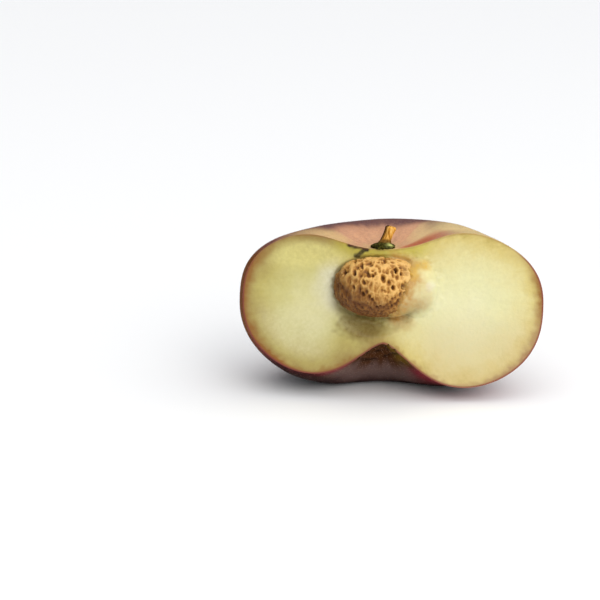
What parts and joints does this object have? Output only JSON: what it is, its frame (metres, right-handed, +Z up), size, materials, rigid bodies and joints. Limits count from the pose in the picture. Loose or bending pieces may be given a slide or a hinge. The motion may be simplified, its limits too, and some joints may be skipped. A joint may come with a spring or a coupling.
{
  "type": "flat peach half",
  "caption": "Half of a flat peach, cut open along its stem, with a pitted stone standing proud of the pale flesh and a short dry stem stub; it leans back on its skin.",
  "frame": {"origin": "on the surface that the half rests on, below the middle of its box", "axes": "+Z up, -Y out of the cut face, +X to the right as one looks at the cut face"},
  "size_m": [0.0754, 0.0452, 0.0431],
  "materials": {
    "flesh_and_skin": "satin",
    "stone": "matte",
    "stem": "matte"
  },
  "bodies": {
    "root": {"peach_half": "flesh_and_skin", "stone": "stone", "stem": "stem"}
  },
  "joints": []
}
